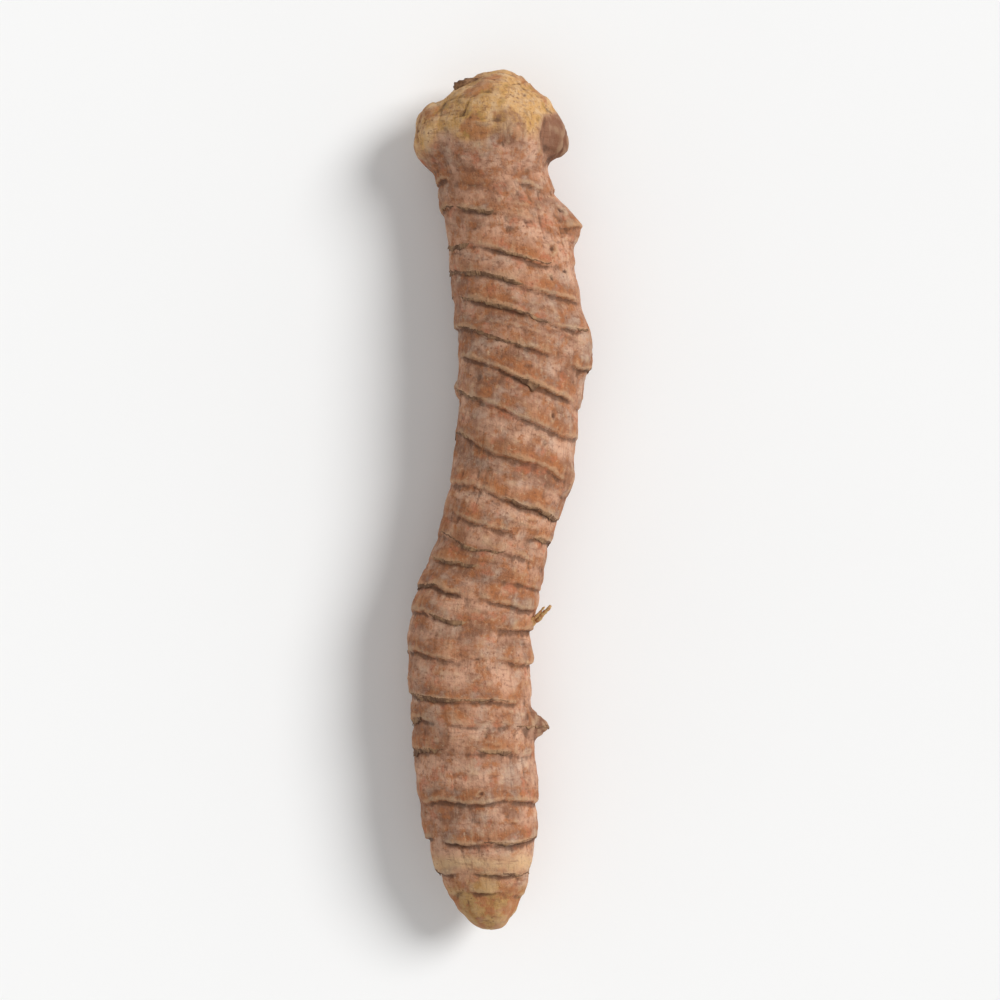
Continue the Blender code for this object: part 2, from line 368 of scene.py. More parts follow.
def faint_rings(along, turn):
    """Weaker lines between the ring scars, each only part of the way round: height and dark line."""
    dice = random.Random(23)
    height = np.zeros(len(along))
    line = np.zeros(len(along))
    edges = (0.02,) + RING_SCARS
    for number, (first, last) in enumerate(zip(edges[:-1], edges[1:])):
        for extra in range(2 if (last - first) * FINGER > WIDE_GAP else 1):
            share = first + (last - first) * dice.uniform(0.3, 0.75)
            seed = 200 + 2 * number + extra
            strength = np.clip(-0.05 + 1.2 * np.interp(turn, *ring_table(seed, 1.5)), 0.0, 0.7)
            past = along - share * FINGER - ring_wave(seed + 60, turn) * 1.2
            edges_at = (-0.4 * MM, -0.12 * MM, 0.08 * MM, 0.6 * MM)
            height += strength * FAINT_HEIGHT * np.interp(past, edges_at, (0.0, -0.9, 1.0, 0.0))
            line = np.maximum(line, strength * bell(past, -0.08 * MM, 0.10 * MM))
    return height, line


def internode_swell(along):
    """The skin swells a little between two ring scars."""
    rings = np.array((0.0,) + RING_SCARS + (1.08,)) * FINGER
    number = np.clip(np.searchsorted(rings, along) - 1, 0, len(rings) - 2)
    share = np.clip((along - rings[number]) / (rings[number + 1] - rings[number]), 0.0, 1.0)
    return np.sin(share * pi) * INTERNODE_SWELL


def root_scars(along, turn):
    """Round scars where roots grew: height, pale rim and dark pit."""
    dice = random.Random(5)
    height = np.zeros(len(along))
    rim = np.zeros(len(along))
    pit = np.zeros(len(along))
    for _ in range(SCAR_COUNT):
        place = dice.choice(RING_SCARS[1:-1]) * FINGER + dice.uniform(0.5, 2.2) * MM
        heading = dice.choice((-1, 1)) * (pi / 2 - abs(dice.gauss(0.0, 1.0))) * 0.98
        if dice.random() < 0.45:
            heading = dice.uniform(-pi, 0.0)
        radius = dice.uniform(*SCAR_RADIUS)
        round_step = (np.mod(turn - heading + pi, 2 * pi) - pi) * SKIN_RADIUS
        long_way = (along - place) * dice.uniform(0.8, 1.5)
        away = np.hypot(long_way, round_step * dice.uniform(0.8, 1.2)) / radius
        around = np.arctan2(along - place, round_step)
        away = away * (1.0 + 0.25 * np.sin(around * 2 + dice.uniform(0, 6)) + 0.15 * np.sin(around * 5))
        ridge = bell(away, 0.95, 0.35) * (0.6 + 0.5 * np.sin(around + dice.uniform(0, 6)))
        hollow = bell(away, 0.0, 0.62)
        height += SCAR_RIM * ridge - SCAR_PIT * hollow
        rim = np.maximum(rim, ridge * dice.uniform(0.2, 0.6))
        pit = np.maximum(pit, hollow * dice.uniform(0.7, 1.0))
    return height, rim, pit


def skin_relief(points, grain):
    """Lumps, faint hoops round the root and lengthwise wrinkles."""
    lumps = noise_at(points, 6.0 * MM, 1) * 0.20 * MM + noise_at(points, 2.4 * MM, 2) * 0.10 * MM
    small = noise_at(points, 1.1 * MM, 3) * 0.058 * MM + noise_at(points, 0.55 * MM, 8) * 0.022 * MM
    hoops = noise_at(grain * (0.28, 0.28, 1.0), 0.70 * MM, 4) * 0.028 * MM
    patches = step_up(noise_at(points, 5.0 * MM, 9), -0.15, 0.35)
    wrinkles = creases(noise_at(grain * (1.0, 1.0, 0.15), 1.25 * MM, 5), 0.11) * 0.055 * MM * patches
    fine = creases(noise_at(grain * (1.0, 1.0, 0.20), 0.65 * MM, 6), 0.16) * 0.022 * MM
    return lumps + small + hoops - wrinkles - fine


def head_relief(points, share):
    """Lumps, cracks and overlapping scale steps of the head's cap: height and dark lines."""
    bend = np.stack([noise_at(points, 2.0 * MM, seed) for seed in (31, 32, 33)], axis=1) * 0.5 * MM
    lumps = noise_at(points, 3.2 * MM, 34) * 0.24 * MM + noise_at(points, 1.4 * MM, 35) * 0.10 * MM
    cracks = 0.8 * creases(noise_at(points + bend, 2.4 * MM, 36), 0.040)
    cracks *= step_up(noise_at(points, 3.0 * MM, 37), 0.05, 0.5)
    top = points[np.argmax(points[:, 1])]
    away = np.linalg.norm((points - top) * (0.80, 1.25, 0.80), axis=1)
    steps, edges = scale_steps(away + noise_at(points, 2.6 * MM, 38) * 0.95 * MM, CAP_RINGS, CAP_STEP)
    patchy = step_up(noise_at(points, 2.8 * MM, 39), -0.35, 0.25)
    height = lumps - cracks * CRACK_DEPTH + steps * patchy
    height -= HEAD_TRIM * step_up(points[:, 1], top[1] - TRIM_REACH, top[1])
    shown = 0.45 * patchy * step_up(noise_at(points, 2.0 * MM, 40), -0.3, 0.6)
    return height * share, np.maximum(cracks, edges * shown) * share


def scale_steps(away, rings, height):
    """Steps where one scale ends on the next, away from a point: height and the dark line under each."""
    total = np.zeros(len(away))
    edges = np.zeros(len(away))
    for ring in rings:
        past = away - ring
        profile_at = (-0.45 * MM, -0.10 * MM, 0.12 * MM, 1.3 * MM)
        total += height * np.interp(past, profile_at, (0.0, -0.6, 1.0, 0.0))
        edges = np.maximum(edges, bell(past, -0.12 * MM, 0.13 * MM))
    return total, edges


def bud_relief(points, share, place):
    """Close scale steps round a bud, counted from its point: height, dark lines and the dark point."""
    x, y, reach = place
    near = np.hypot(points[:, 0] - x, points[:, 1] - y) < reach
    tip = points[near][np.argmax(points[near][:, 0])]
    away = np.linalg.norm(points - tip, axis=1) + noise_at(points, 1.2 * MM, 41) * 0.22 * MM
    height = np.zeros(len(points))
    edges = np.zeros(len(points))
    for number, side in ((1.1, -0.5), (2.1, 0.6), (3.2, -0.8)):
        level = (points - tip) @ np.array((0.0, 0.4, 0.9)) * side * 0.55
        rise, line = scale_steps(away + level, [BUD_RING_GAP * number], BUD_STEP)
        shown = step_up(noise_at(points, 1.7 * MM, 42 + int(number)) + 0.5 * side * level / MM, -0.35, 0.35)
        height += rise * (0.3 + 0.7 * shown)
        edges = np.maximum(edges, line * shown * 0.8)
    squashed = np.linalg.norm((points - tip) * (0.9, 0.40, 0.12), axis=1)
    beak = 1.0 - step_up(squashed, 0.20 * reach, 0.80 * reach)
    return height * share, edges * share, beak * share


# ---------------------------------------------------------------- the skin

def skin_mesh():
    """The solid's mesh, remeshed finely and rounded off; the solid's straight rings are levelled."""
    source = bpy.data.objects[NODE]
    rough = bpy.data.objects.new("rough", source.data.copy())
    bpy.context.scene.collection.objects.link(rough)
    remesh = rough.modifiers.new("remesh", "REMESH")
    remesh.mode = "VOXEL"
    remesh.voxel_size = VOXEL
    remesh.adaptivity = 0.0
    depsgraph = bpy.context.evaluated_depsgraph_get()
    mesh = bpy.data.meshes.new_from_object(rough.evaluated_get(depsgraph))
    bpy.data.objects.remove(rough, do_unlink=True)
    points = mesh_points(mesh)
    spread = Spread(mesh_edges(mesh), len(points))
    light = spread.smooth(points, FACET_SMOOTHING)
    heavy = spread.smooth(light, RING_SMOOTHING)
    heavy = heavy + spread.smooth(light - heavy, BROAD_SMOOTHING)
    kept = step_up(np.linalg.norm(light - heavy, axis=1), KEPT_FROM, KEPT_TO)
    kept = spread.smooth(kept, 14)[:, None]
    set_points(mesh, heavy * (1.0 - kept) + light * kept)
    return mesh, spread


def add_attribute(mesh, name, values):
    kind = "FLOAT" if values.ndim == 1 else "FLOAT_VECTOR"
    layer = mesh.attributes.new(name, kind, "POINT")
    layer.data.foreach_set("value" if values.ndim == 1 else "vector", values.astype(np.float32).ravel())


def hollows(mesh, spread):
    """How hollow (positive) or proud (negative) each point of the skin is; the material paints shade into
    the hollows from it.
    """
    points = mesh_points(mesh)
    wide = spread.smooth(points, 12)
    depth = ((wide - points) * mesh_normals(mesh)).sum(axis=1)
    return spread.smooth(depth, 1) / HOLLOW_UNIT


def cap_shares(points, along):
    """How far each point belongs to the cap of the head, to the tip, to the pale band, and to each bud."""
    buds = []
    for x, y, reach in (SIDE_BUD, TIP_BUD):
        away = np.hypot(points[:, 0] - x, points[:, 1] - y) + noise_at(points, 1.5 * MM, 17) * 0.3 * MM
        buds.append(1.0 - step_up(away, 0.80 * reach, 1.10 * reach))
    wander = noise_at(points, 3.4 * MM, 6) * 1.3 * MM + noise_at(points, 1.0 * MM, 16) * 0.35 * MM
    cap = step_up(points[:, 1] + wander - CAP_START, -0.8 * MM, 0.9 * MM) * (1.0 - buds[0])
    tip = 1.0 - step_up(along + wander, TIP_FROM, TIP_TO)
    band = bell(along + 0.3 * wander, PALE_BAND, PALE_BAND_WIDTH)
    return cap, tip, band, buds


def skin_tone_and_shade(points, along):
    """Brightness of the skin from its tone along the finger and its darker patches; the patch at the head's
    lower left is painted shade.
    """
    shares, tones = zip(*TONES)
    wander = noise_at(points, 4.0 * MM, 51) * 1.0 * MM
    tone_and_shade = np.interp((along + wander) / FINGER, shares, tones)
    for x, y, reach, strength in DARK_PATCHES_AND_PAINTED_SHADE:
        away = np.hypot(points[:, 0] - x, points[:, 1] - y)
        uneven = 1.0 + 0.5 * noise_at(points, 1.6 * MM, 52)
        tone_and_shade -= strength * bell(away, 0.0, reach) * uneven * (points[:, 2] > UPPER_SIDE)
    return tone_and_shade


def add_to_scene(name, data):
    piece = bpy.data.objects.new(name, data)
    bpy.context.scene.collection.objects.link(piece)
    return piece


def make_skin():
    """The detailed skin with the fields that its material reads, and the root's middle line."""
    mesh, spread = skin_mesh()
    points = mesh_points(mesh)
    line = MiddleLine(points)
    along, turn, grain = skin_coordinates(points, line)
    cap, tip, band, buds = cap_shares(points, along)
    ring_height, stain, groove, crest = ring_relief(along, turn)
    faint_height, faint_line = faint_rings(along, turn)
    scar_height, rim, pit = root_scars(along, turn)
    head = step_up(points[:, 1], HEAD_FROM, HEAD_TO) * (1.0 - buds[0])
    head_height, cracks = head_relief(points, head)
    side_height, side_edges, side_beak = bud_relief(points, buds[0], SIDE_BUD)
    tip_height, tip_edges, tip_beak = bud_relief(points, buds[1], TIP_BUD)
    bare = (1.0 - 0.95 * cap) * (1.0 - buds[0]) * (1.0 - 0.8 * buds[1])
    height = (ring_height + faint_height + internode_swell(along) + scar_height) * bare
    height += skin_relief(points, grain) + head_height + side_height + tip_height
    height += noise_at(points, 1.3 * MM, 61) * 0.09 * MM * tip
    flats = step_up(-mesh_normals(mesh)[:, 2], FLAT_NORMAL, 1.0) * step_up(-points[:, 2], -FLAT_HEIGHT, 0.0)
    height *= 1.0 - 0.8 * flats
    points = points + mesh_normals(mesh) * height[:, None]
    points[:, 2] = np.maximum(points[:, 2], 0.0)
    set_points(mesh, points)
    fields = {
        "stain": stain * bare,
        "groove": np.maximum(groove, 0.7 * faint_line) * bare,
        "crest": crest * bare,
        "cap": cap,
        "tip": tip,
        "band": band,
        "bud": np.maximum(buds[0], 0.35 * buds[1]),
        "rim": rim * bare,
        "pit": pit * bare,
        "bud_tip": np.maximum(side_beak, 0.5 * tip_beak),
        "crack": np.maximum.reduce([cracks, side_edges, tip_edges]),
        "tone_and_shade": skin_tone_and_shade(points, along),
        "hollow": hollows(mesh, spread),
        "grain": grain,
    }
    for name, values in fields.items():
        add_attribute(mesh, name, values)
    mesh.shade_smooth()
    mesh.materials.clear()
    mesh.materials.append(skin_material())
    return add_to_scene("root_skin", mesh), line


# ---------------------------------------------------------------- material

class Nodes:
    """Short calls for building one material's node tree."""

    COLOUR_A, COLOUR_B, MIXED = 6, 7, 2     # the colour sockets of a Mix node

    def __init__(self, name):
        self.material = bpy.data.materials.new(name)
        self.material.use_nodes = True
        self.tree = self.material.node_tree
        self.shader = self.tree.nodes["Principled BSDF"]

    def link(self, source, target):
        """Sets a number or a colour on a socket, or links another node's output to it."""
        if isinstance(source, (int, float)):
            target.default_value = source
        elif isinstance(source, tuple):
            target.default_value = (*source, 1.0)
        else:
            self.tree.links.new(source, target)

    def attribute(self, name, output="Fac"):
        node = self.tree.nodes.new("ShaderNodeAttribute")
        node.attribute_name = name
        return node.outputs[output]

    def place(self):
        """The point on the piece itself."""
        return self.tree.nodes.new("ShaderNodeTexCoord").outputs["Object"]

    def stretched(self, vector, scale):
        node = self.tree.nodes.new("ShaderNodeMapping")
        self.link(vector, node.inputs["Vector"])
        node.inputs["Scale"].default_value = scale
        return node.outputs["Vector"]

    def noise(self, vector, size, detail=3.0, rough=0.55):
        node = self.tree.nodes.new("ShaderNodeTexNoise")
        self.link(vector, node.inputs["Vector"])
        node.inputs["Scale"].default_value = 1.0 / size
        node.inputs["Detail"].default_value = detail
        node.inputs["Roughness"].default_value = rough
        return node.outputs["Fac"]

    def bent(self, vector, size, reach):
        """The vector, pushed about by noise of a size."""
        node = self.tree.nodes.new("ShaderNodeTexNoise")
        self.link(vector, node.inputs["Vector"])
        node.inputs["Scale"].default_value = 1.0 / size
        push = self.tree.nodes.new("ShaderNodeVectorMath")
        push.operation = "MULTIPLY_ADD"
        self.link(node.outputs["Color"], push.inputs[0])
        push.inputs[1].default_value = (reach, reach, reach)
        self.link(vector, push.inputs[2])
        return push.outputs["Vector"]

    def cells(self, vector, size, feature="F1"):
        """Distance to a cell's middle, or with another feature to its edge."""
        node = self.tree.nodes.new("ShaderNodeTexVoronoi")
        node.feature = feature
        self.link(vector, node.inputs["Vector"])
        node.inputs["Scale"].default_value = 1.0 / size
        return node.outputs["Distance"]

    def ramp(self, value, start, end, low=0.0, high=1.0):
        node = self.tree.nodes.new("ShaderNodeMapRange")
        node.interpolation_type = "SMOOTHSTEP"
        self.link(value, node.inputs["Value"])
        for name, number in (("From Min", start), ("From Max", end), ("To Min", low), ("To Max", high)):
            node.inputs[name].default_value = number
        return node.outputs["Result"]

    def math(self, operation, first, second=0.0):
        node = self.tree.nodes.new("ShaderNodeMath")
        node.operation = operation
        self.link(first, node.inputs[0])
        self.link(second, node.inputs[1])
        return node.outputs[0]

    def times(self, first, second):
        return self.math("MULTIPLY", first, second)

    def mix(self, share, first, second):
        node = self.tree.nodes.new("ShaderNodeMix")
        node.data_type = "RGBA"
        self.link(share, node.inputs[0])
        self.link(first, node.inputs[self.COLOUR_A])
        self.link(second, node.inputs[self.COLOUR_B])
        return node.outputs[self.MIXED]

    def bump(self, height, distance, under=None):
        node = self.tree.nodes.new("ShaderNodeBump")
        node.inputs["Strength"].default_value = 1.0
        node.inputs["Distance"].default_value = distance
        self.link(height, node.inputs["Height"])
        if under is not None:
            self.link(under, node.inputs["Normal"])
        return node.outputs["Normal"]


def body_colour(n, place, patch, mottle, small):
    """Pinkish-brown skin with orange-brown bands at the ring scars, rust and brown patches, a grey bloom."""
    tone_and_shade, stain = n.attribute("tone_and_shade"), n.attribute("stain")
    bloom = n.noise(place, 2.2 * MM, 4.0, 0.65)
    # the tone also carries painted shade: the dark lower left of the head
    uneven = n.math("ADD", tone_and_shade, n.ramp(patch, 0.30, 0.70, 0.9, -0.9))
    colour = n.mix(n.ramp(uneven, 0.9, -1.0), PINK_SKIN, BROWN_SKIN)
    colour = n.mix(n.ramp(mottle, 0.48, 0.64, 0.0, 0.80), colour, RING_ORANGE)
    stained = n.times(stain, n.ramp(patch, 0.28, 0.60, 0.45, 1.20))
    colour = n.mix(n.math("MINIMUM", stained, 0.92), colour, RING_ORANGE)
    deep = n.times(n.ramp(stain, 0.25, 0.90), n.ramp(bloom, 0.42, 0.62))
    colour = n.mix(n.times(deep, 0.75), colour, RED_BROWN)
    rust = n.noise(place, 1.7 * MM, 3.0, 0.6)
    colour = n.mix(n.ramp(rust, 0.56, 0.68, 0.0, 0.65), colour, RUST_RED)
    colour = n.mix(n.ramp(bloom, 0.48, 0.72, 0.0, 0.60), colour, BLOOM_GREY)
    colour = n.mix(n.ramp(small, 0.54, 0.68, 0.0, 0.55), colour, RED_BROWN)
    return n.mix(n.ramp(small, 0.44, 0.30, 0.0, 0.35), colour, PALE_TAN)


def end_colour(n, patch, mottle, small):
    """Ochre of the cap and the tip, mottled orange and olive."""
    colour = n.mix(n.ramp(mottle, 0.42, 0.66, 0.0, 0.70), OCHRE, PALE_TAN)
    colour = n.mix(n.ramp(patch, 0.48, 0.62, 0.0, 0.80), colour, RING_ORANGE)
    colour = n.mix(n.ramp(mottle, 0.46, 0.32, 0.0, 0.85), colour, OLIVE_OCHRE)
    return n.mix(n.ramp(small, 0.52, 0.66, 0.0, 0.60), colour, BROWN_SKIN)


def dry_crackle(n, grain):
    """Thin broken cracks of the dry corky skin, longer along the root, only in places."""
    long_cells = n.stretched(n.bent(grain, 0.55 * MM, 0.50 * MM), (1.0, 1.0, 0.38))
    edges = n.cells(long_cells, 0.66 * MM, "DISTANCE_TO_EDGE")
    wide = n.ramp(n.noise(grain, 0.7 * MM, 2.0), 0.42, 0.62, 0.004, 0.090)
    line = n.math("SUBTRACT", 1.0, n.math("MINIMUM", n.math("DIVIDE", edges, wide), 1.0))
    return n.times(line, n.ramp(n.noise(grain, 2.6 * MM, 3.0, 0.6), 0.46, 0.60))


def skin_material():
    """Skin of the finger, the ochre ends and the brown buds, with dark grooves, wrinkles and specks, and
    painted shade in the hollows of the relief.
    """
    n = Nodes("turmeric_skin")
    place = n.place()
    grain = n.attribute("grain", "Vector")
    patch = n.noise(place, 2.8 * MM, 3.0, 0.6)
    mottle = n.noise(place, 1.2 * MM, 4.0, 0.65)
    small = n.noise(place, 0.45 * MM, 4.0, 0.65)
    fibres = n.noise(n.stretched(grain, (1.0, 1.0, 0.10)), 0.30 * MM, 3.0, 0.6)
    hoops = n.noise(n.stretched(grain, (0.20, 0.20, 1.0)), 0.34 * MM, 3.0, 0.6)
    fine = n.noise(place, 0.16 * MM, 3.0, 0.65)
    crackle = dry_crackle(n, grain)
    hollow = n.attribute("hollow")

    colour = body_colour(n, place, patch, mottle, small)
    ends = end_colour(n, patch, mottle, small)
    # the ends darken where the tone is low, which takes in the painted shade at the head's lower left
    dark_cap = n.ramp(n.attribute("tone_and_shade"), -0.2, -1.2, 0.0, 0.75)
    ends = n.mix(n.times(dark_cap, n.ramp(small, 0.35, 0.60, 0.5, 1.0)), ends, BROWN_SKIN)
    blotches = n.ramp(n.noise(place, 1.4 * MM, 3.0, 0.6), 0.43, 0.56)
    tip_ends = n.mix(n.times(blotches, 0.90), n.mix(0.70, ends, OLIVE_OCHRE), RING_ORANGE)
    colour = n.mix(n.attribute("cap"), colour, ends)
    colour = n.mix(n.times(n.attribute("band"), 0.85), colour, n.mix(0.55, ends, PALE_TAN))
    colour = n.mix(n.times(n.attribute("tip"), 0.90), colour, tip_ends)
    colour = n.mix(n.times(n.attribute("bud"), 0.90), colour, BROWN_SKIN)
    colour = n.mix(n.times(n.attribute("bud_tip"), 0.85), colour, RED_BROWN)
    colour = n.mix(n.times(crackle, 0.26), colour, RED_BROWN)
    colour = n.mix(n.times(n.attribute("crest"), 0.10), colour, PALE_TAN)
    colour = n.mix(n.ramp(fibres, 0.52, 0.72, 0.0, 0.36), colour, BROWN_SKIN)
    colour = n.mix(n.ramp(fibres, 0.46, 0.28, 0.0, 0.16), colour, PALE_TAN)
    colour = n.mix(n.ramp(hoops, 0.54, 0.72, 0.0, 0.45), colour, RED_BROWN)
    # painted shade: the hollows of the relief are darkened towards the dark brown
    colour = n.mix(n.times(n.ramp(hollow, 0.10, 1.6), 0.58), colour, GROOVE_AND_SHADE_BROWN)
    colour = n.mix(n.times(n.ramp(hollow, -0.4, -2.0), 0.30), colour, PALE_TAN)
    lines = n.math("MAXIMUM", n.attribute("groove"), n.attribute("crack"))
    colour = n.mix(n.times(lines, n.ramp(mottle, 0.36, 0.62, 0.10, 0.58)), colour, GROOVE_AND_SHADE_BROWN)
    colour = n.mix(n.times(n.attribute("rim"), 0.4), colour, PALE_TAN)
    colour = n.mix(n.times(n.attribute("pit"), 0.85), colour, GROOVE_AND_SHADE_BROWN)
    specks = n.ramp(n.cells(place, 0.65 * MM), 0.10, 0.22, 1.0, 0.0)
    few = n.times(specks, n.ramp(n.noise(place, 2.4 * MM, 1.0), 0.44, 0.56))
    colour = n.mix(n.times(few, 0.6), colour, RED_BROWN)
    n.link(colour, n.shader.inputs["Base Color"])

    n.link(n.ramp(mottle, 0.25, 0.75, 0.62, 0.84), n.shader.inputs["Roughness"])
    normal = n.bump(hoops, 0.07 * MM)
    normal = n.bump(fibres, 0.06 * MM, normal)
    normal = n.bump(small, 0.13 * MM, normal)
    normal = n.bump(fine, 0.06 * MM, normal)
    normal = n.bump(n.math("SUBTRACT", 1.0, crackle), 0.02 * MM, normal)
    n.link(normal, n.shader.inputs["Normal"])
    n.shader.inputs["Specular IOR Level"].default_value = 0.30
    return n.material


def husk_material():
    """Dry brown scale with dark streaks along the root."""
    n = Nodes("scale_husk")
    place = n.place()
    streaks = n.noise(n.stretched(n.attribute("grain", "Vector"), (1.0, 1.0, 0.08)), 0.16 * MM, 3.0, 0.6)
    patches = n.noise(place, 1.2 * MM, 2.0)
    colour = n.mix(n.ramp(patches, 0.38, 0.64), HUSK_BROWN, HUSK_TAN)
    colour = n.mix(n.ramp(streaks, 0.45, 0.70, 0.0, 0.7), colour, GROOVE_AND_SHADE_BROWN)
    n.link(colour, n.shader.inputs["Base Color"])
    n.link(n.ramp(streaks, 0.3, 0.7, 0.60, 0.85), n.shader.inputs["Roughness"])
    n.link(n.bump(streaks, 0.03 * MM), n.shader.inputs["Normal"])
    n.shader.inputs["Specular IOR Level"].default_value = 0.3
    return n.material


def rootlet_material():
    n = Nodes("dry_rootlet")
    place = n.place()
    grains = n.noise(place, 0.25 * MM, 3.0)
    n.link(n.mix(n.ramp(grains, 0.40, 0.65), ROOTLET_TAN, RING_ORANGE), n.shader.inputs["Base Color"])
    n.link(n.ramp(grains, 0.3, 0.7, 0.6, 0.8), n.shader.inputs["Roughness"])
    n.link(n.bump(grains, 0.03 * MM), n.shader.inputs["Normal"])
    return n.material


# ---------------------------------------------------------------- scale remnants

def closed_piece(name, points, faces, material):
    """A piece of closed shells, their faces turned outward."""
    mesh = bpy.data.meshes.new(name)
    mesh.from_pydata([tuple(point) for point in points], [], faces)
    shape = bmesh.new()
    shape.from_mesh(mesh)
    bmesh.ops.recalc_face_normals(shape, faces=shape.faces)
    shape.to_mesh(mesh)
    shape.free()
    mesh.shade_smooth()
    mesh.materials.append(material)
    return add_to_scene(name, mesh)


class Sheets:
    """Gathers thin closed sheets in one mesh."""

    def __init__(self):
        self.points = []
        self.faces = []
        self.grains = []

    def add(self, rows, normals, grains, thickness):
        """rows[i][j]: points along the strip and across it, closed with a second layer under them."""
        count, wide = len(rows), len(rows[0])
        start = len(self.points)
        for layer in (0.5, -0.5):
            for row, row_normals, row_grains in zip(rows, normals, grains):
                for point, normal, grain in zip(row, row_normals, row_grains):
                    self.points.append(point + normal * thickness * layer)
                    self.grains.append(grain)
        under = start + count * wide

        def at(base, i, j):
            return base + i * wide + j

        for i in range(count - 1):
            for j in range(wide - 1):
                near, far, far_next, near_next = (i, j), (i + 1, j), (i + 1, j + 1), (i, j + 1)
                self.faces.append(tuple(at(start, *end) for end in (near, far, far_next, near_next)))
                self.faces.append(tuple(at(under, *end) for end in (near, near_next, far_next, far)))
        rim = [(i, 0) for i in range(count)] + [(count - 1, j) for j in range(1, wide)]
        rim += [(i, wide - 1) for i in range(count - 2, -1, -1)] + [(0, j) for j in range(wide - 2, 0, -1)]
        for (i, j), (k, l) in zip(rim, rim[1:] + rim[:1]):
            self.faces.append((at(start, i, j), at(under, i, j), at(under, k, l), at(start, k, l)))

    def build(self, name, material):
        piece = closed_piece(name, self.points, self.faces, material)
        add_attribute(piece.data, "grain", np.array(self.grains))
        return piece


def add_strip(sheets, finder, number, ring, start, span, width, dice):
    """A torn strip of a scale along a ring scar, its free edge towards the tip."""
    steps = max(6, int(span * SKIN_RADIUS / STRIP_STEP))
    seed = dice.uniform(0.0, 90.0)
    rows, normals, grains = [], [], []
    for step in range(steps + 1):
        share = step / steps
        turn = start + span * share
        tear = 0.55 + 0.9 * noise.noise((share * span * 2.2, seed, 0.0))
        tear += 0.45 * noise.noise((share * span * 16, seed, 4.0))
        reach = width * max(0.10, tear) * min(1.0, 6.0 * share + 0.15, 6.0 * (1.0 - share) + 0.15)
        row, row_normals, row_grains = [], [], []
        for across in (0.0, 0.3, 0.65, 1.0):
            wrapped = (turn + pi) % (2 * pi) - pi
            along = ring + float(ring_wave(number, wrapped)) + 0.10 * MM - reach * across
            place, normal = finder.find(along, turn)
            if place is None:
                return
            curl = 0.10 + 0.10 * noise.noise((share * span * 5.0, seed, 9.0))
            lift = (-0.03 + 0.05 * across + curl * across * across * reach / (0.6 * MM)) * MM
            corner = place + normal * lift
            corner.z = max(corner.z, FLOOR_GAP)
            row.append(corner)
            row_normals.append(normal)
            row_grains.append((cos(turn) * SKIN_RADIUS, sin(turn) * SKIN_RADIUS, along))
        rows.append(row)
        normals.append(row_normals)
        grains.append(row_grains)
    sheets.add(rows, normals, grains, STRIP_SHEET)


def add_flap(sheets, finder):
    """The frayed scale that stands off the cap's top left corner."""
    rows, normals, grains = [], [], []
    for step in range(FLAP_STEPS + 1):
        share = step / FLAP_STEPS
        along = FLAP_FROM[0] + (FLAP_TO[0] - FLAP_FROM[0]) * share
        turn = FLAP_FROM[1] + (FLAP_TO[1] - FLAP_FROM[1]) * share
        place, normal = finder.find(along, turn)
        if place is None:
            return
        outline = (share * (1.0 - share) * 4.0) ** 0.7
        ragged = 0.85 + 0.5 * noise.noise((share * 7.0, 3.1, 0.4))
        reach = FLAP_REACH * outline * ragged + 0.05 * MM
        heading = (FLAP_HEADING + normal * 0.3).normalized()
        row = [place - normal * 0.06 * MM + heading * reach * across for across in (0.0, 0.4, 0.75, 1.0)]
        rows.append(row)
        normals.append([normal.cross(heading).cross(heading).normalized() * -1.0] * 4)
        grains.append([(turn * SKIN_RADIUS, across * 0.3 * MM, along) for across in range(4)])
    sheets.add(rows, normals, grains, FLAP_SHEET)


def make_remnants(finder):
    """Torn strips of dry scale along the ring scars, and the frayed scale at the cap's corner."""
    dice = random.Random(31)
    sheets = Sheets()
    add_flap(sheets, finder)
    for number, share in enumerate(RING_SCARS[1:-1], start=1):
        for _ in range(dice.choice(STRIP_COUNTS)):
            start = dice.uniform(-pi, pi)
            span = dice.uniform(*STRIP_SPAN)
            width = dice.uniform(*STRIP_WIDTH) * MM
            add_strip(sheets, finder, number, share * FINGER, start, span, width, dice)
    return sheets.build("scale_remnants", husk_material())


# ---------------------------------------------------------------- rootlets

class Tubes:
    """Gathers tapering closed tubes in one mesh."""

    SIDES = 7

    def __init__(self):
        self.points = []
        self.faces = []

    def add(self, path, radii):
        start = len(self.points)
        for number, (place, radius) in enumerate(zip(path, radii)):
            ahead = path[min(number + 1, len(path) - 1)] - path[max(number - 1, 0)]
            side = ahead.cross(Vector((0.31, 0.17, 0.93))).normalized()
            other = ahead.cross(side).normalized()
            for corner in range(self.SIDES):
                angle = 2 * pi * corner / self.SIDES
                self.points.append(place + side * cos(angle) * radius + other * sin(angle) * radius)
        for ring in range(len(path) - 1):
            for corner in range(self.SIDES):
                ahead = (corner + 1) % self.SIDES
                base, top = start + ring * self.SIDES, start + (ring + 1) * self.SIDES
                self.faces.append((base + corner, base + ahead, top + ahead, top + corner))
        last = start + (len(path) - 1) * self.SIDES
        self.faces.append(tuple(start + corner for corner in reversed(range(self.SIDES))))
        self.faces.append(tuple(last + corner for corner in range(self.SIDES)))

    def build(self, name, material):
        return closed_piece(name, self.points, self.faces, material)


def rootlet(tubes, finder, along, turn, length, radius, lean, dice):
    """A crooked, tapering fibre that starts under the skin and leans off it."""
    place, normal = finder.find(along, turn)
    heading = (normal + Vector(lean)).normalized()
    steps = max(5, int(length / ROOTLET_STEP))
    path, radii = [], []
    point = place - normal * ROOTLET_DEPTH
    for step in range(steps + 1):
        share = step / steps
        path.append(point.copy())
        radii.append(radius * (1.0 - 0.55 * share) * (1.0 + 0.25 * dice.uniform(-1, 1)))
        heading = (heading + Vector([dice.uniform(-1, 1) for _ in range(3)]) * 0.22).normalized()
        point = point + heading * length / steps
        point.z = max(point.z, 1.5 * radius)
    for place in path:
        place.z = max(place.z, 1.5 * radius)
    tubes.add(path, radii)


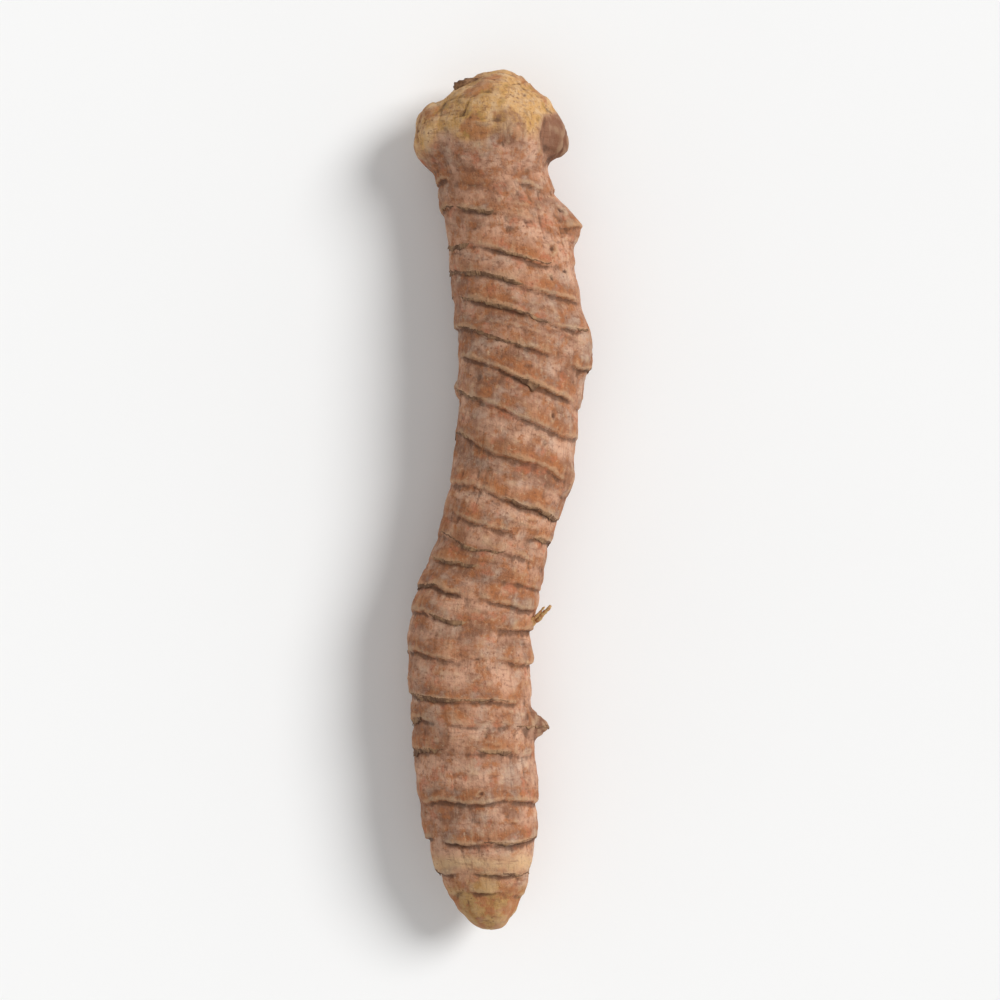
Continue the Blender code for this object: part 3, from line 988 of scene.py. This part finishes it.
def make_rootlets(finder):
    """The root fibres at the right edge, and fine ones on the sides and the underside."""
    dice = random.Random(47)
    tubes = Tubes()
    for offset, turn, length, radius, lean in FIBRES:
        rootlet(tubes, finder, FIBRES_PLACE + offset, turn, length, radius, lean, dice)
    for _ in range(FINE_ROOTLETS):
        along = dice.uniform(0.10, 0.88) * FINGER
        turn = dice.uniform(-pi, 0.1 * pi)
        length = dice.uniform(0.7, 1.4) * MM
        radius = dice.uniform(0.05, 0.09) * MM
        lean = (0.0, dice.choice((-1, 1)) * dice.uniform(2.5, 4.0), 0.0)
        rootlet(tubes, finder, along, turn, length, radius, lean, dice)
    return tubes.build("rootlets", rootlet_material())


# ---------------------------------------------------------------- studio

def floor_material():
    n = Nodes("pale_floor")
    pale = n.mix(n.noise(n.place(), FLOOR_CLOUDS, 2.0), *FLOOR_TONES)
    n.link(pale, n.shader.inputs["Base Color"])
    n.shader.inputs["Roughness"].default_value = 0.9
    n.shader.inputs["Specular IOR Level"].default_value = 0.2
    return n.material


def make_floor():
    mesh = bmesh.new()
    bmesh.ops.create_circle(mesh, cap_ends=True, segments=96, radius=FLOOR_RADIUS)
    data = bpy.data.meshes.new("floor")
    mesh.to_mesh(data)
    mesh.free()
    data.materials.append(floor_material())
    floor = add_to_scene("floor", data)


def sun(name, heading, softness, strength):
    """A soft light from far away, so the floor is evenly lit; heading points to the light."""
    data = bpy.data.lights.new(name, "SUN")
    data.angle = softness
    data.energy = strength
    light = add_to_scene(name, data)
    light.rotation_euler = Vector(heading).to_track_quat("Z", "Y").to_euler()


def make_world():
    """A pale studio, as bright as the floor at the horizon and dimmer above."""
    world = bpy.data.worlds.new("studio")
    world.use_nodes = True
    tree = world.node_tree
    direction = tree.nodes.new("ShaderNodeTexCoord").outputs["Generated"]
    split = tree.nodes.new("ShaderNodeSeparateXYZ")
    tree.links.new(direction, split.inputs[0])
    fade = tree.nodes.new("ShaderNodeMapRange")
    fade.interpolation_type = "SMOOTHSTEP"
    tree.links.new(split.outputs["Z"], fade.inputs["Value"])
    ends = (("From Min", FADE_FROM), ("From Max", FADE_TO), ("To Min", HORIZON), ("To Max", ZENITH))
    for name, number in ends:
        fade.inputs[name].default_value = number
    tree.links.new(fade.outputs["Result"], tree.nodes["Background"].inputs["Strength"])
    tree.nodes["Background"].inputs["Color"].default_value = (1.0, 1.0, 1.0, 1.0)
    bpy.context.scene.world = world


def make_lights():
    sun("key", KEY_HEADING, KEY_SOFTNESS, KEY_STRENGTH)
    sun("fill", FILL_HEADING, FILL_SOFTNESS, FILL_STRENGTH)
    make_world()
    bpy.context.scene.view_settings.view_transform = "Standard"


def make_camera():
    """Straight down on the root, its head at the picture's top."""
    data = bpy.data.cameras.new("camera")
    data.lens = LENS
    camera = add_to_scene("camera", data)
    frame_side = LENGTH / ROOT_SHARE
    middle = (LOW + HIGH) / 2
    camera.location = (middle.x, middle.y, HIGH.z / 2 + frame_side * data.lens / data.sensor_width)
    bpy.context.scene.camera = camera


def main():
    skin, line = make_skin()
    finder = SkinFinder(skin.data, line)
    pieces = [skin, make_remnants(finder), make_rootlets(finder)]
    for piece in pieces:
        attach(piece, "root")
        print(piece.name, len(piece.data.vertices), "points,", len(piece.data.polygons), "faces")
    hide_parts(NODE)
    make_floor()
    make_lights()
    make_camera()


main()
